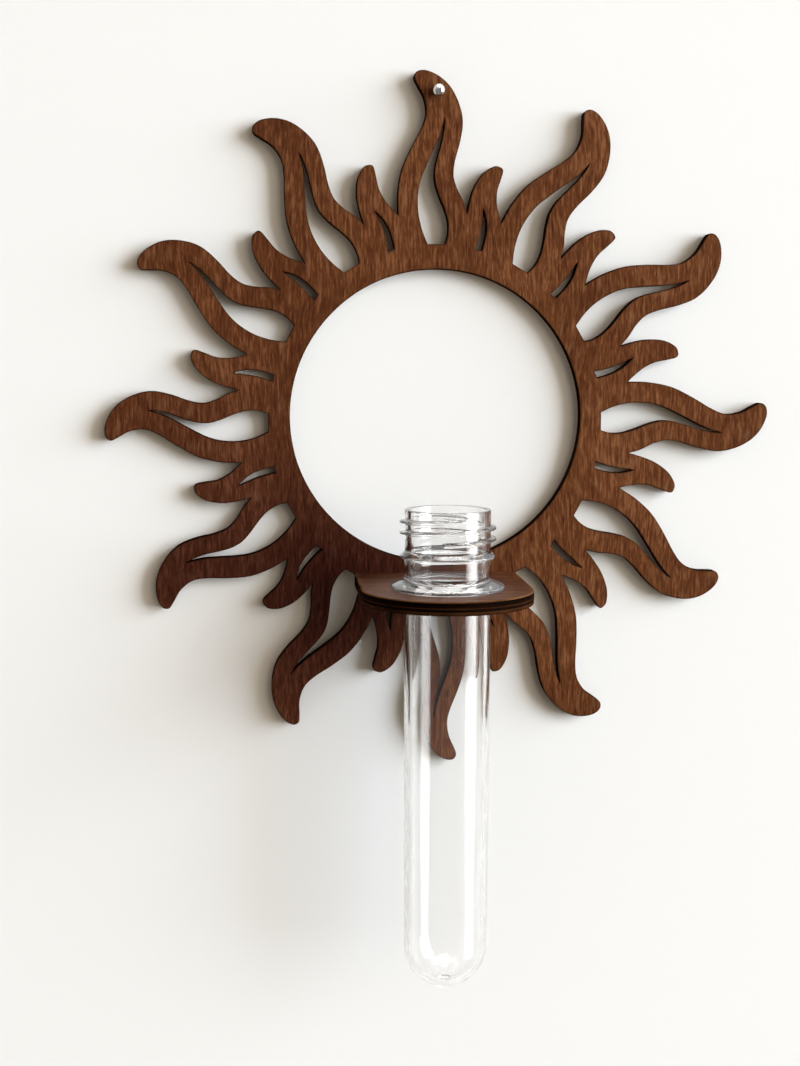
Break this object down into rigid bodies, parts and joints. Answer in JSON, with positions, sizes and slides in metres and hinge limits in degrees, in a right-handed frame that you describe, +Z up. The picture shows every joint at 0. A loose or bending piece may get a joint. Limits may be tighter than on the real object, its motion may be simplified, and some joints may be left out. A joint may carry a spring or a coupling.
{
  "type": "wall propagation station",
  "caption": "Sun-shaped plywood wall panel with curling flame rays and a small shelf that holds a clear screw-neck test tube for rooting plant cuttings.",
  "frame": {"origin": "axis of the wall nail where it enters the wall, on the plane of the panel's back face", "axes": "+Z up, +Y into the wall, -Y towards the viewer, +X to the viewer's right"},
  "size_m": [0.2051, 0.0787, 0.2722],
  "materials": {
    "walnut_stained_plywood": "satin walnut stain, laser-charred edges",
    "shelf_plywood": "satin walnut stain, laser-charred edges",
    "clear_pet": "clear gloss",
    "nickel_plate": "polished",
    "bare_steel": "drawn wire"
  },
  "bodies": {
    "nail": {"nail_head": "nickel_plate", "nail_shank": "bare_steel"},
    "station": {"sun_panel": "walnut_stained_plywood", "shelf": "shelf_plywood"},
    "tube": {"test_tube": "clear_pet"}
  },
  "joints": [
    {"name": "panel_swing", "type": "hinge", "parent": "nail", "child": "station", "pos_m": [0, 0, 0], "axis": [0, -1, 0], "continuous": true},
    {"name": "tube_lift", "type": "slide", "parent": "station", "child": "tube", "axis": [0, 0, 1], "range_m": [0, 0.125]}
  ]
}
